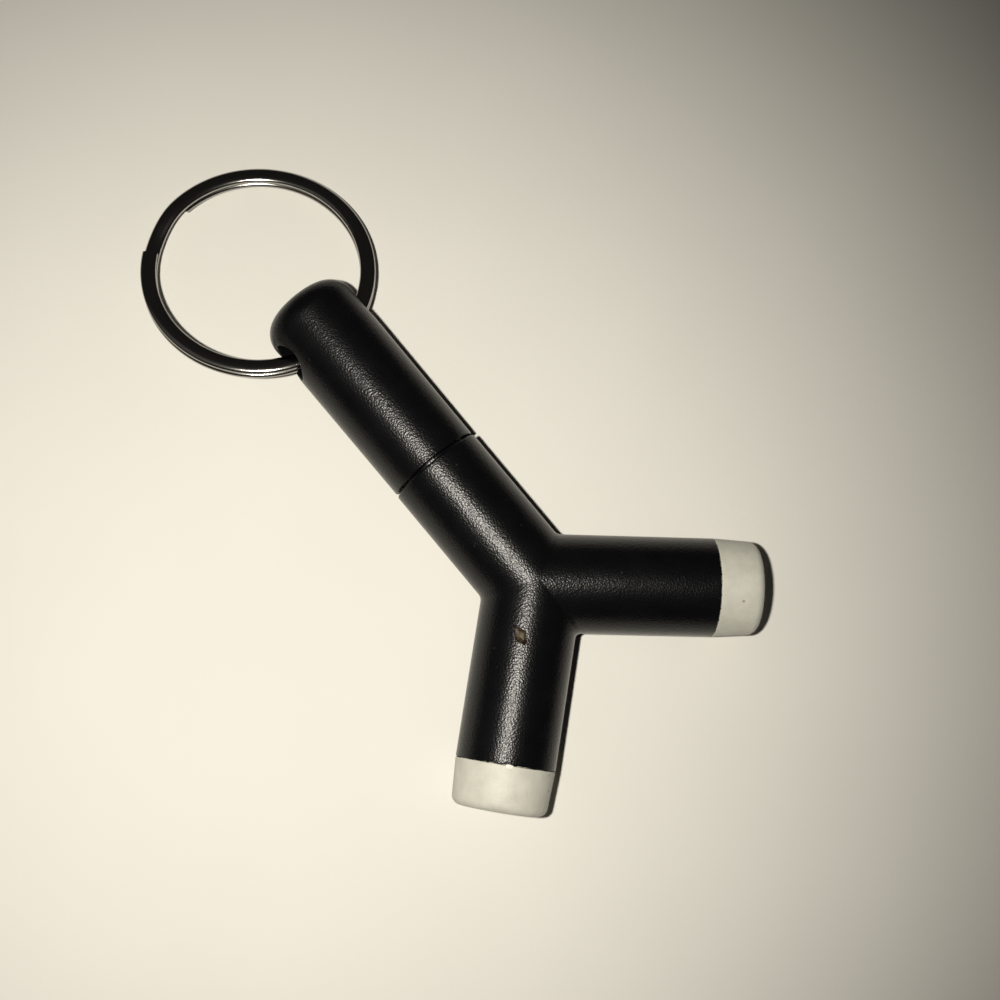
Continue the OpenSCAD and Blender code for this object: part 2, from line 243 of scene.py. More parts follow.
# %% Black plastic
def black_plastic(name, seed):
    """Near-black with a cratered grain, a broad blotch and a few threads of lint."""
    m = Shader(name)
    craters = m.cells(0.20, seed=seed)
    fine = m.noise(0.11, seed=seed)
    blotch = m.noise(2.4, detail=3.0, seed=seed + 0.5)
    grain = craters * 0.8 + fine * 0.5
    lint = m.step(m.noise(0.55, detail=1.0, seed=seed + 3), 0.765, 0.80)
    base = m.mix(blotch, colour(0.0016, 0.0017, 0.0022), colour(0.0038, 0.0039, 0.0046))
    base = m.mix(lint * 0.35, base, colour(0.05, 0.05, 0.05))
    rough = 0.195 + blotch * 0.07 + fine * 0.08
    normal = m.bump(grain, 0.030, 0.82)
    return m.surface({"Base Color": base, "Roughness": rough, "Normal": normal,
                      "IOR": 1.33, "Specular IOR Level": 0.5})


body_black = black_plastic("body_black", 0.0)
cap_black = black_plastic("cap_black", 0.013)
print("black plastics:", body_black.name, cap_black.name)

# %% [markdown]
# ## White plastic
# The collars are a soft off-white plastic that handling has clouded, with a few specks
# of dirt. The specks are the middles of large cells, and a broad noise keeps only
# some of them, because dirt in every cell would look like a printed pattern.

# %% White plastic
def white_plastic():
    """Off-white, softly clouded, with a few brown specks."""
    m = Shader("white_plastic")
    cloud = m.noise(1.6, detail=3.0)
    fine = m.noise(0.2, seed=0.02)
    specks = 1 - m.step(m.cells(1.5, seed=0.004), 0.06, 0.14)
    rare = m.step(m.noise(3.1, detail=0.0, seed=0.03), 0.46, 0.52)
    base = m.mix(cloud, colour(0.46, 0.455, 0.39), colour(0.66, 0.655, 0.58))
    base = m.mix(specks * rare * 0.75, base, colour(0.20, 0.16, 0.09))
    normal = m.bump(cloud * 0.8 + fine * 0.3, 0.12, 0.8)
    return m.surface({"Base Color": base, "Roughness": 0.42 + cloud * 0.15, "Normal": normal,
                      "IOR": 1.49, "Specular IOR Level": 0.35})


white = white_plastic()
print("white plastic:", white.name)

# %% [markdown]
# ## Metals
# The split ring is nickel-plated steel, dulled in patches by keys and pockets. The
# plug and the bushes have the same plate with less wear, and the contacts and the
# solder are other tints of it, so one function with a few numbers serves them all.

# %% Metals
def plate(name, tint, worn, scratch):
    """Bright plate with broad dull patches and fine scratches."""
    m = Shader(name)
    patch = m.noise(1.8, detail=3.0)
    hair = m.noise(0.09, detail=3.0, seed=0.01)
    dulled = [0.55 * c for c in tint]
    base = m.mix(patch * worn, colour(*tint), colour(*dulled))
    rough = 0.06 + patch * 0.10 * worn + hair * 0.08
    normal = m.bump(hair * 0.5 + patch * 0.8, 0.03, scratch)
    return m.surface({"Base Color": base, "Roughness": rough, "Metallic": 1.0, "Normal": normal})


ring_steel = plate("ring_steel", (0.52, 0.505, 0.48), 0.9, 0.35)
nickel = plate("nickel_plate", (0.74, 0.71, 0.65), 0.5, 0.18)
bronze = plate("spring_bronze", (0.72, 0.50, 0.24), 0.6, 0.2)
solder = plate("solder", (0.55, 0.55, 0.57), 1.0, 0.8)
print("metals:", ring_steel.name, nickel.name, bronze.name, solder.name)

# %% [markdown]
# ## Plain inner plastics
# What hides inside needs only a plain moulding each: a base colour, a faint mottle of
# a second one, and a little unevenness, so that it doesn't look like flat paint.

# %% Plain inner plastics
def moulded(name, light, dark, size_mm, rough):
    """A plain moulding with a faint two-tone mottle."""
    m = Shader(name)
    tone = m.noise(size_mm, detail=3.0)
    base = m.mix(m.step(tone, 0.42, 0.58), colour(*dark), colour(*light))
    return m.surface({"Base Color": base, "Roughness": rough + tone * 0.1,
                      "Normal": m.bump(tone, 0.06, 0.7)})


inner = moulded("inner_plastic", (0.075, 0.058, 0.028), (0.02, 0.008, 0.005), 0.6, 0.5)
natural = moulded("natural_nylon", (0.70, 0.68, 0.60), (0.6, 0.58, 0.5), 1.0, 0.4)
dark_plastic = moulded("dark_insulator", (0.02, 0.02, 0.02), (0.012, 0.012, 0.012), 0.8, 0.35)
wire_finish = {"sleeve": moulded("wire_copper", (0.75, 0.6, 0.3), (0.6, 0.48, 0.22), 1.0, 0.35),
               "ring": moulded("wire_red", (0.5, 0.04, 0.03), (0.4, 0.03, 0.02), 1.0, 0.35),
               "tip": moulded("wire_white", (0.8, 0.8, 0.78), (0.7, 0.7, 0.68), 1.0, 0.35)}
print("inner finishes:", inner.name, natural.name, dark_plastic.name, *wire_finish)

# %% [markdown]
# ## Mesh helpers
# Each moulding is a few grids of points that share their edges. Grids are gathered
# as loose quads, welded where they meet, and the faces are then turned outwards.
# A profile's corners are rounded by arcs before it is turned round its axis. A Bevel
# modifier could round them later, but here each corner keeps a radius of its own.

# %% Grids to one welded mesh
WELD = 0.0002 * MM                  # points nearer than this become one
SLIVER = 0.00001 * MM               # edges shorter than this are dissolved


class Skin:
    """Gathers grids of world points and welds them into one closed mesh."""

    def __init__(self):
        self.points, self.faces = [], []

    def grid(self, points):
        """Adds a quad between every four neighbours of a rows by columns grid."""
        rows, columns = points.shape[:2]
        first = len(self.points)
        self.points.extend(points.reshape(-1, 3))
        for i in range(rows - 1):
            for j in range(columns - 1):
                a = first + i * columns + j
                self.faces.append((a, a + 1, a + columns + 1, a + columns))

    def weld(self, name, material, sharp_degrees=38):
        """One object of all the grids, closed where their edges coincide."""
        mesh = bpy.data.meshes.new(name)
        mesh.from_pydata([tuple(p) for p in self.points], [], self.faces)
        tidy = bmesh.new()
        tidy.from_mesh(mesh)
        bmesh.ops.remove_doubles(tidy, verts=tidy.verts, dist=WELD)
        bmesh.ops.dissolve_degenerate(tidy, edges=tidy.edges, dist=SLIVER)
        bmesh.ops.recalc_face_normals(tidy, faces=tidy.faces)
        tidy.to_mesh(mesh)
        tidy.free()
        piece = bpy.data.objects.new(name, mesh)
        bpy.context.scene.collection.objects.link(piece)
        mesh.materials.append(material)
        finish_faces(mesh, sharp_degrees)
        return piece


def finish_faces(mesh, sharp_degrees):
    """Smooth shading with sharp corners, and a count of edges that are left open."""
    mesh.shade_smooth()
    mesh.set_sharp_from_angle(angle=math.radians(sharp_degrees))
    tidy = bmesh.new()
    tidy.from_mesh(mesh)
    loose = sum(not e.is_manifold for e in tidy.edges)
    tidy.free()
    print(f"{mesh.name}: {len(mesh.polygons)} faces, {loose} open edges")


print("grids weld within", WELD / MM, "mm")


# %% Profiles
def rounded(corners, steps=5):
    """(radius, station, rounding) corners to (radius, station) points with arcs."""
    points = []
    for i, (r, s, c) in enumerate(corners):
        here = Vector((r, s))
        if not c:
            points.append(here)
            continue
        before = (Vector(corners[i - 1][:2]) - here).normalized()
        after = (Vector(corners[(i + 1) % len(corners)][:2]) - here).normalized()
        half = before.angle(after) / 2
        centre = here + (before + after).normalized() * (c / math.sin(half))
        tangent = c / math.tan(half)
        start, end = here + before * tangent, here + after * tangent
        for k in range(steps + 1):
            way = start.lerp(end, k / steps) - centre
            points.append(centre + way.normalized() * c)
    return np.array([tuple(p) for p in points])


def spread(points, longest):
    """Adds points along straight stretches, so that no step is longer than longest."""
    out = [points[0]]
    for a, b in zip(points[:-1], points[1:]):
        n = max(1, math.ceil(np.linalg.norm(b - a) / longest))
        out.extend(a + (b - a) * k / n for k in range(1, n + 1))
    return np.array(out)


def turn(skin, limb, profile, segments=96, wobble=None):
    """Turns a profile round a limb's axis; wobble moves a point's station by its angle."""
    angles = np.linspace(0, 2 * math.pi, segments + 1)
    r, s = profile[:, 0][:, None], profile[:, 1][:, None]
    shift = 0 if wobble is None else wobble(r, s, angles[None, :])
    skin.grid(limb.place(s + shift, r * np.cos(angles), r * np.sin(angles)))


print("helpers ready")

# %% [markdown]
# ## The Y moulding
# Three equal tubes meet at the crossing. The mould's corners are not sharp: a small
# radius runs along each line where two tubes meet, and it fades out at the top and
# the bottom, where the tubes share one flat tangent. A modeller could cut it with a
# Boolean and a bevel, but the bevel would tear where it fades. Here each tube is its
# own grid that ends on the mitre with its neighbours, and every point is pushed out
# along its ray until it meets a smooth distance field of the three tubes.

# %% The distance field of the three tubes
CROTCH_RADIUS, SHOULDER_RADIUS = 0.7, 1.0
FLAT_MEETING = 0.02                 # sine of the angle below which two tubes just touch


def tube_field(p, limb):
    """Distance to a limb's surface from its axis ray, and the direction away from it."""
    axis = np.array(limb.axis)
    along = np.maximum(p @ axis, 0)
    away = p - along[..., None] * axis
    length = np.linalg.norm(away, axis=-1)
    return length - TUBE_R, away / length[..., None]


def rolled(a, b, radius):
    """Union of two tubes with a ball of that radius rolled along the line they share."""
    (da, na), (db, nb) = a, b
    c = np.clip((na * nb).sum(-1), -1, 1)
    sine = np.sqrt(np.maximum(1 - c * c, 1e-9))
    u, v = radius - da, radius - db
    ball = radius - np.sqrt(np.maximum(u * u + v * v - 2 * u * v * c, 0)) / sine
    inside = (u - v * c > 0) & (v - u * c > 0) & (u > 0) & (v > 0) & (sine > FLAT_MEETING)
    return np.where(inside, np.minimum(ball, np.minimum(da, db)), np.minimum(da, db))


def y_field(p):
    """Distance to the whole Y: below zero inside it."""
    s, r, l = (tube_field(p, limb) for limb in (stem, right, left))
    shoulders = np.minimum(rolled(s, r, SHOULDER_RADIUS), rolled(s, l, SHOULDER_RADIUS))
    return np.minimum(shoulders, rolled(r, l, CROTCH_RADIUS))


print("rolled radii:", CROTCH_RADIUS, "mm between the arms and", SHOULDER_RADIUS, "mm at the stem")

# %% One limb's skin
ROUND = 144                         # points round each limb
ROWS = 64                           # rows along it, closer together at the crossing
CROWDING = 1.25
NEAREST, FARTHEST = 0.8, 1.9        # the ray's search, in tube radii
HALVINGS = 32
angles = np.linspace(0, 2 * math.pi, ROUND + 1)
BEND = math.pi - ARM_ANGLE          # from the stem to an arm
CROTCH = 2 * ARM_ANGLE              # from arm to arm


def limb_skin(limb, near_side, far_side, end):
    """Rows of points from the mitres to a limb's end; the sides are neighbours' angles."""
    cosine, sine = np.cos(angles), np.sin(angles)
    slope = np.where(cosine > 0, 1 / math.tan(near_side / 2), 1 / math.tan(far_side / 2))
    share = (np.linspace(0, 1, ROWS) ** CROWDING)[:, None]
    axis, side = np.array(limb.axis), np.array(limb.side)

    def local(radius):
        """The points at the given distances out along their rays."""
        station = (1 - share) * radius * np.abs(cosine) * slope + share * end
        return (station[..., None] * axis + (radius * cosine)[..., None] * side
                + (radius * sine)[..., None] * np.array(UP))

    low = np.full((ROWS, ROUND + 1), NEAREST * TUBE_R)
    high = np.full((ROWS, ROUND + 1), FARTHEST * TUBE_R)
    for _ in range(HALVINGS):
        middle = (low + high) / 2
        inside = y_field(local(middle)) < 0
        low, high = np.where(inside, middle, low), np.where(inside, high, middle)
    return np.array(CROSS) + MM * local((low + high) / 2)


print("limb grids:", ROWS, "rows of", ROUND, "points")

# %% [markdown]
# ## The Y moulding's ends
# The arms end in a thin, slightly ragged lip against the collar, where the black
# plastic crept along the white. The seam end has the neck that locates the cap.
# Behind both ends the wall turns inwards, so each socket and the plug have room.

# %% Ends and pockets
LIP = 0.10                          # rounding of the thin lip
RAGGED_LONG = 0.35                  # how far back from the lip its wandering reaches
TURNED_END = 1.4                    # what is turned at each limb's end
ARM_FLOOR = 7.0                     # floor of the room behind a socket
NECK_R = 4.0
NECK_ROUND = 0.14
SEAM_ROUND = 0.17
PLUG_HOLE = PLUG_R + 0.05
PLUG_FLOOR = SEAM - 1.5             # floor of the room behind the plug


def ragged(r, s, a):
    """A lip that wanders by a few hundredths, with a nick or two, only at the very end."""
    at_end = np.clip((s - (ARM_END - RAGGED_LONG)) / RAGGED_LONG, 0, 1) * (r > CORE_R + 0.05)
    wave = np.array([noise.noise(Vector((9 * math.cos(t), 9 * math.sin(t), 1.7)))
                     + 0.7 * noise.noise(Vector((23 * math.cos(t), 23 * math.sin(t), 5.1)))
                     for t in a.ravel()])
    return at_end * (-0.03 + 0.075 * np.clip(wave, -0.8, 0.6))[None, :]


arm_wall = rounded([(TUBE_R, ARM_END - TURNED_END, 0), (TUBE_R, ARM_END, LIP),
                    (CORE_R, ARM_END, 0), (CORE_R, ARM_FLOOR, 0), (0, ARM_FLOOR, 0)], steps=4)
stem_wall = rounded([(TUBE_R, SEAM - TURNED_END, 0), (TUBE_R, SEAM, SEAM_ROUND),
                     (NECK_R, SEAM, 0), (NECK_R, SHOULDER, NECK_ROUND),
                     (PLUG_HOLE, SHOULDER, 0.08), (PLUG_HOLE, PLUG_FLOOR, 0),
                     (0, PLUG_FLOOR, 0)], steps=4)

y_skin = Skin()
y_skin.grid(limb_skin(stem, BEND, BEND, SEAM - TURNED_END))
for arm in ARMS.values():
    y_skin.grid(limb_skin(arm, BEND, CROTCH, ARM_END - TURNED_END))
turn(y_skin, stem, spread(stem_wall, 0.5), ROUND)
for arm in ARMS.values():
    turn(y_skin, arm, spread(arm_wall, 0.35), ROUND, ragged)
y_moulding = y_skin.weld("y_moulding", body_black)

# %% [markdown]
# ## The chip
# Near the crossing of the left arm a crumb of the black skin has broken out and the
# brown moulding under it shows. The break is cut with an irregular wedge, and the
# faces below the surface take the inner plastic.

# %% Cut the chip
CHIP_S, CHIP_SIDE = 6.0, 1.0        # station along the left arm, and out to its side
CHIP_DEPTH = 0.85
CHIP_REACH = 1.9                    # every point of the break is nearer than this
SKIN_DEPTH = 0.12                   # below this the brown moulding shows
chip_rim = [(0.72, 0.95), (0.30, 0.80), (-0.18, 0.55), (-0.55, 0.42), (-0.62, -0.05),
            (-0.74, -0.62), (-0.66, -1.02), (-0.25, -0.86), (0.22, -0.70), (0.50, -0.42),
            (0.58, 0.12)]


def chip_cutter():
    """A closed wedge: wide above the skin, narrower and uneven at its floor."""
    cutter = bmesh.new()
    top, floor = [], []
    for k, (x, y) in enumerate(chip_rim):
        floor_up = TUBE_R - CHIP_DEPTH + 0.12 * math.sin(2.4 * k)
        for ring, scale, up in ((top, 1.25, TUBE_R + 0.5), (floor, 0.72, floor_up)):
            at = left.place(CHIP_S - y * scale, CHIP_SIDE + x * scale, up)
            ring.append(cutter.verts.new(tuple(at)))
    deep = cutter.verts.new(tuple(left.place(CHIP_S + 0.1, CHIP_SIDE, TUBE_R - CHIP_DEPTH - 0.15)))
    cutter.faces.new(top)
    for k in range(len(top)):
        n = (k + 1) % len(top)
        cutter.faces.new((top[k], top[n], floor[n], floor[k]))
        cutter.faces.new((floor[k], floor[n], deep))
    bmesh.ops.recalc_face_normals(cutter, faces=cutter.faces)
    mesh = bpy.data.meshes.new("chip_cutter")
    cutter.to_mesh(mesh)
    cutter.free()
    made = bpy.data.objects.new("chip_cutter", mesh)
    bpy.context.scene.collection.objects.link(made)
    return made


def evaluated_mesh(piece):
    """The piece's mesh with its modifiers applied, and the modifiers removed."""
    graph = bpy.context.evaluated_depsgraph_get()
    mesh = bpy.data.meshes.new_from_object(piece.evaluated_get(graph), depsgraph=graph)
    piece.modifiers.clear()
    return mesh


cutter = chip_cutter()
cut = y_moulding.modifiers.new("chip", "BOOLEAN")
cut.operation, cut.object, cut.solver = "DIFFERENCE", cutter, "EXACT"
y_moulding.data = evaluated_mesh(y_moulding)
y_moulding.data.name = "y_moulding"
bpy.data.objects.remove(cutter)
y_moulding.data.materials.append(inner)
chip_at = Vector(left.place(CHIP_S, CHIP_SIDE, TUBE_R))
for face in y_moulding.data.polygons:
    from_cross = face.center - CROSS
    from_axis = (from_cross - left.axis * from_cross.dot(left.axis)).length
    near = (face.center - chip_at).length < CHIP_REACH * MM
    if near and from_axis < (TUBE_R - SKIN_DEPTH) * MM:
        face.material_index = 1
finish_faces(y_moulding.data, 38)
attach(y_moulding, "body")
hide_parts("y_body")

# %% [markdown]
# ## The cap
# A thick blind tube with a flat-domed end and a cross hole for the ring. The hole's
# mouth is a saddle: a circle drawn on a cylinder. A Boolean would leave slivers that
# cannot be rounded, so the grid is laid out for the hole: round each mouth a square
# of the wall is replaced by rings that run from the square in to the circle, then
# over a soft lip and straight through to the other side.

# %% Cap sizes and outline
CAP_ROUND, CAP_DOME = 2.6, 0.35
HOLE_R, HOLE_LIP = 2.2, 0.28
PATCH = 3.3                         # half the side of the square round a mouth
CELLS = 28                          # cells along the square's side
CAP_FLOOR = CAP_TIP - 8.25          # where the hollow for the plug ends
HOLLOW_R = PLUG_R + 0.08
SOCKET_R = NECK_R + 0.3             # the wider hollow that the neck pushes into
SOCKET_END = SHOULDER + 0.3
dome_start = CAP_TIP - CAP_DOME
flat_r = TUBE_R - CAP_ROUND


def cap_radius(v):
    """Radius of the cap's wall at a station short of its end."""
    over = np.clip(v - (dome_start - CAP_ROUND), 0, CAP_ROUND)
    return flat_r + np.sqrt(CAP_ROUND ** 2 - over ** 2)


patch_v = HOLE - PATCH + 2 * PATCH * np.arange(CELLS + 1) / CELLS
patch_ends = np.arcsin((HOLE + PATCH - dome_start + CAP_ROUND) / CAP_ROUND)
beyond = np.linspace(patch_ends, math.pi / 2, 12)[1:]
end_arc = np.stack([flat_r + CAP_ROUND * np.cos(beyond),
                    dome_start - CAP_ROUND + CAP_ROUND * np.sin(beyond)], 1)
dome_r = np.linspace(flat_r, 0, 9)[1:]
dome = np.stack([dome_r, CAP_TIP - CAP_DOME * (dome_r / flat_r) ** 2], 1)
inner_wall = rounded([(0, CAP_FLOOR, 0), (HOLLOW_R, CAP_FLOOR, 0), (HOLLOW_R, SOCKET_END, 0.12),
                      (SOCKET_R, SOCKET_END, 0), (SOCKET_R, CAP_BASE, 0.12),
                      (TUBE_R, CAP_BASE, SEAM_ROUND)], steps=4)
straight = np.array([inner_wall[-1], (TUBE_R, HOLE - PATCH)])
in_patch = np.stack([cap_radius(patch_v), patch_v], 1)
print("end flat radius", round(flat_r, 2), "mm; the wall is full until", round(dome_start - CAP_ROUND, 2))

# %% Cap mesh
ACROSS = PATCH / TUBE_R             # half the square, as an angle
BETWEEN = 40                        # cells between the two squares
WALL_ROWS, LIP_ROWS, TUNNEL_ROWS = 10, 6, 8
cap_up = HINGE.cross(STEM).normalized()
mouth_angles = np.linspace(-ACROSS, ACROSS, CELLS + 1)
gap_angles = np.linspace(ACROSS, math.pi - ACROSS, BETWEEN + 1)


def cap_place(station, along_hinge, up):
    """World points from a station, a distance along the hinge line, and a height over it."""
    s, x, z = np.broadcast_arrays(station, along_hinge, up)
    flat = s[..., None] * STEM + x[..., None] * HINGE + z[..., None] * cap_up
    return np.array(CROSS) + MM * flat


def cap_turn(skin, profile, around):
    """Turns a profile round the cap's axis through the given angles."""
    r, s = profile[:, 0][:, None], profile[:, 1][:, None]
    skin.grid(cap_place(s, r * np.cos(around), r * np.sin(around)))


def mouth_rings(skin, way):
    """The square round a mouth, its lip and its half of the tunnel; way is 1 or -1."""
    side = np.arange(CELLS)
    low, high = np.full(CELLS, 0), np.full(CELLS, CELLS)
    a = mouth_angles[np.concatenate([side, high, CELLS - side, low, [0]])]
    v = patch_v[np.concatenate([low, side, high, CELLS - side, [0]])]
    outer = np.stack([cap_radius(v) * np.sin(a), v - HOLE], 1)
    outward = outer / np.linalg.norm(outer, axis=1)[:, None]
    rim = outward * (HOLE_R + HOLE_LIP)

    def wall(flat):
        """A point of the cap's wall above a point of the hole's plane."""
        out = np.sqrt(cap_radius(flat[:, 1] + HOLE) ** 2 - flat[:, 0] ** 2)
        return np.concatenate([flat, out[:, None]], 1)

    rings = [wall(outer + (rim - outer) * k / WALL_ROWS) for k in range(WALL_ROWS + 1)]
    start, corner = wall(rim), wall(outward * HOLE_R)
    end = corner - np.array([0, 0, HOLE_LIP])
    for k in range(1, LIP_ROWS + 1):
        t = k / LIP_ROWS
        rings.append((1 - t) ** 2 * start + 2 * t * (1 - t) * corner + t * t * end)
    middle = end * np.array([1, 1, 0])
    rings.extend(end + (middle - end) * k / TUNNEL_ROWS for k in range(1, TUNNEL_ROWS + 1))
    rings = np.array(rings)
    skin.grid(cap_place(rings[..., 1] + HOLE, way * rings[..., 2], rings[..., 0]))


cap_skin = Skin()
whole = np.concatenate([mouth_angles, gap_angles[1:], math.pi + mouth_angles[1:],
                        math.pi + gap_angles[1:]])
cap_turn(cap_skin, spread(inner_wall, 0.6), whole)
cap_turn(cap_skin, spread(straight, 0.45), whole)
for turn_by in (0, math.pi):
    cap_turn(cap_skin, in_patch, turn_by + gap_angles)
cap_turn(cap_skin, np.concatenate([in_patch[-1:], end_arc, dome]), whole)
mouth_rings(cap_skin, 1)
mouth_rings(cap_skin, -1)
cap_moulding = cap_skin.weld("cap_moulding", cap_black)
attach(cap_moulding, "cap")
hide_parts("cap")

# %% [markdown]
# ## The split ring
# One length of flattened spring wire wound twice round, with a short step where it
# sinks from the upper turn to the lower. It follows a path with a rule, so Geometry
# Nodes make it: a line of points is bent into the two turns, a rounded bar is swept
# along it, and the cut ends are closed. The ring lies in the cap's own frame, tipped
# towards the table.

# %% Where the ring lies
RING_PITCH = math.radians(8.4)
ring_out = Matrix.Rotation(-RING_PITCH, 3, HINGE) @ STEM
ring_axis = HINGE.cross(ring_out).normalized()
ring_ways = (HINGE, ring_out, ring_axis)
ring_points = np.array([v.co for v in frame["nodes"]["split_ring"].data.vertices])
spans = [ring_points @ np.array(way) for way in ring_ways]
middles = [way * float((s.min() + s.max()) / 2) for way, s in zip(ring_ways, spans)]
RING_OD = float(spans[0].max() - spans[0].min()) / MM
RING_T = float(spans[2].max() - spans[2].min()) / MM
ring_frame = Matrix(ring_ways).transposed().to_4x4()
ring_frame.translation = sum(middles, Vector((0, 0, 0)))
print(f"ring {RING_OD:.2f} mm outside, {RING_T:.2f} mm thick")

# %% The node tree for the ring
class Tree:
    """Geometry Nodes written as calls: node(type, settings, inputs)."""

    def __init__(self, name):
        self.tree = bpy.data.node_groups.new(name, "GeometryNodeTree")
        self.tree.interface.new_socket("Geometry", in_out="OUTPUT", socket_type="NodeSocketGeometry")
        self.names = {}
        self.entry = self.tree.nodes.new("NodeGroupInput")

    def input(self, name, kind, value):
        """A named input of the tree, with its default."""
        socket = self.tree.interface.new_socket(name, in_out="INPUT", socket_type=kind)
        socket.default_value = value
        self.names[name] = socket.identifier
        return self.entry.outputs[name]

    def node(self, kind, settings, inputs, output=0):
        made = self.tree.nodes.new(kind)
        for key, value in settings.items():
            setattr(made, key, value)
        for key, value in inputs.items():
            if isinstance(value, bpy.types.NodeSocket):
                self.tree.links.new(value, made.inputs[key])
            else:
                made.inputs[key].default_value = value
        return made.outputs[output]

    def sum(self, operation, a, b=0.0, c=0.0):
        """One step of arithmetic; c is only for MULTIPLY_ADD, which is a * b + c."""
        inputs = {0: a, 1: b}
        if operation == "MULTIPLY_ADD":
            inputs[2] = c
        return self.node("ShaderNodeMath", dict(operation=operation), inputs)

    def result(self, geometry):
        out = self.tree.nodes.new("NodeGroupOutput")
        self.tree.links.new(geometry, out.inputs[0])


BAR_POINTS = 32                     # round the bar's section
SQUARED = 0.86                      # 1 leaves the section round, less squares it off


def ring_tree(material):
    """Two turns of flat bar with a step from the upper to the lower."""
    t = Tree("split_ring_wire")
    middle = t.input("Middle radius", "NodeSocketFloat", 0.0118)
    width = t.input("Wire width", "NodeSocketFloat", 0.0017)
    level = t.input("Half the turns' spacing", "NodeSocketFloat", 0.0004)
    thick = t.input("Turn thickness", "NodeSocketFloat", 0.0008)
    start = t.input("Start angle", "NodeSocketFloat", 2.2)
    step = t.input("Step angle", "NodeSocketFloat", 0.5)
    count = t.input("Points", "NodeSocketInt", 600)
    line = t.node("GeometryNodeMeshLine", {}, {"Count": count, "Offset": (0.001, 0, 0)})
    last = t.sum("SUBTRACT", count, 1.0)
    index = t.node("GeometryNodeInputIndex", {}, {})
    way = t.sum("DIVIDE", index, last)
    turns = t.sum("SUBTRACT", 4 * math.pi, step)
    angle = t.sum("MULTIPLY_ADD", way, turns, start)
    # 0 on the upper turn, 1 on the lower, with the step between them
    done = t.sum("SUBTRACT", t.sum("MULTIPLY", way, turns), t.sum("SUBTRACT", 2 * math.pi, step))
    sink = t.node("ShaderNodeMapRange", dict(interpolation_type="SMOOTHERSTEP"),
                  {"Value": t.sum("DIVIDE", done, step)})
    height = t.sum("MULTIPLY", level, t.sum("MULTIPLY_ADD", sink, -2.0, 1.0))
    x = t.sum("MULTIPLY", middle, t.sum("COSINE", angle))
    y = t.sum("MULTIPLY", middle, t.sum("SINE", angle))
    place = t.node("ShaderNodeCombineXYZ", {}, {0: x, 1: y, 2: height})
    bent = t.node("GeometryNodeSetPosition", {}, {"Geometry": line, "Position": place})
    path = t.node("GeometryNodeMeshToCurve", {}, {"Mesh": bent})
    path = t.node("GeometryNodeSetCurveNormal", dict(mode="Z_UP"), {"Curve": path})
    # the bar's section is a circle squared off towards a flat oval
    bar = t.node("GeometryNodeCurvePrimitiveCircle", {}, {"Resolution": BAR_POINTS, "Radius": 1.0})
    spot = t.node("GeometryNodeInputPosition", {}, {})
    sides = []
    for number, size in enumerate((width, thick)):
        side = t.node("ShaderNodeSeparateXYZ", {}, {0: spot}, number)
        full = t.sum("POWER", t.sum("ABSOLUTE", side), SQUARED)
        half = t.sum("MULTIPLY", size, 0.5)
        sides.append(t.sum("MULTIPLY", t.sum("MULTIPLY", full, t.sum("SIGN", side)), half))
    oval = t.node("ShaderNodeCombineXYZ", {}, {0: sides[0], 1: sides[1]})
    bar = t.node("GeometryNodeSetPosition", {}, {"Geometry": bar, "Position": oval})
    wire = t.node("GeometryNodeCurveToMesh", {}, {"Curve": path, "Profile Curve": bar,
                                                  "Fill Caps": True})
    solid = t.node("GeometryNodeRealizeInstances", {}, {"Geometry": wire})
    t.result(t.node("GeometryNodeSetMaterial", {}, {"Geometry": solid, "Material": material}))
    return t


print("ring tree written")

# %% Wind the ring
TURN_GAP = 0.06                     # between the two turns
WIRE_W = 1.7
CUT_AT, STEP_LONG = math.radians(132), math.radians(35)
ring_values = {"Middle radius": (RING_OD - WIRE_W) / 2 * MM, "Wire width": WIRE_W * MM,
               "Half the turns' spacing": (RING_T + TURN_GAP) / 4 * MM,
               "Turn thickness": (RING_T - TURN_GAP) / 2 * MM,
               "Start angle": CUT_AT, "Step angle": STEP_LONG, "Points": 560}


def grown(name, tree, values, material):
    """A plain mesh piece from a node tree and the values of its named inputs."""
    piece = bpy.data.objects.new(name, bpy.data.meshes.new(name + "_seed"))
    bpy.context.scene.collection.objects.link(piece)
    modifier = piece.modifiers.new(name, "NODES")
    modifier.node_group = tree.tree
    for key, value in values.items():
        modifier[tree.names[key]] = value
    piece.data = evaluated_mesh(piece)
    piece.data.name = name
    piece.data.materials.clear()
    piece.data.materials.append(material)
    return piece


split_ring = grown("split_ring_wire", ring_tree(ring_steel), ring_values, ring_steel)
split_ring.data.transform(ring_frame)
finish_faces(split_ring.data, 50)
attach(split_ring, "ring")
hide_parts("split_ring")

# %% [markdown]
# ## Collars and bushes
# Each white collar tapers a little to a soft corner, and its face is recessed for the
# flange of the metal bush that is the socket's mouth. Both are turned shapes.

# %% Collars
FACE_R, FACE_ROUND = 4.95, 0.95
BUSH_R = 2.6
FLANGE_R, FLANGE_THICK = BUSH_R + 0.5, 0.4
SLACK = 0.02                        # between pieces that fit into each other
SPIGOT_R = CORE_R - SLACK           # the part of the collar inside the black skin
SPIGOT_BACK = ARM_END - 0.8
COLLAR_BACK = ARM_END + 0.03        # where it shows
BED_R, BED_FLOOR = BUSH_R + 0.54, MOUTH_S - FLANGE_THICK - SLACK
collar_outline = rounded([(SPIGOT_R, SPIGOT_BACK, 0), (SPIGOT_R, COLLAR_BACK, 0),
                          (TUBE_R, COLLAR_BACK, 0.10), (FACE_R, MOUTH_S, FACE_ROUND),
                          (BED_R, MOUTH_S, 0.08), (BED_R, BED_FLOOR, 0),
                          (BUSH_R + SLACK, BED_FLOOR, 0), (BUSH_R + SLACK, SPIGOT_BACK, 0),
                          (SPIGOT_R, SPIGOT_BACK, 0)], steps=8)


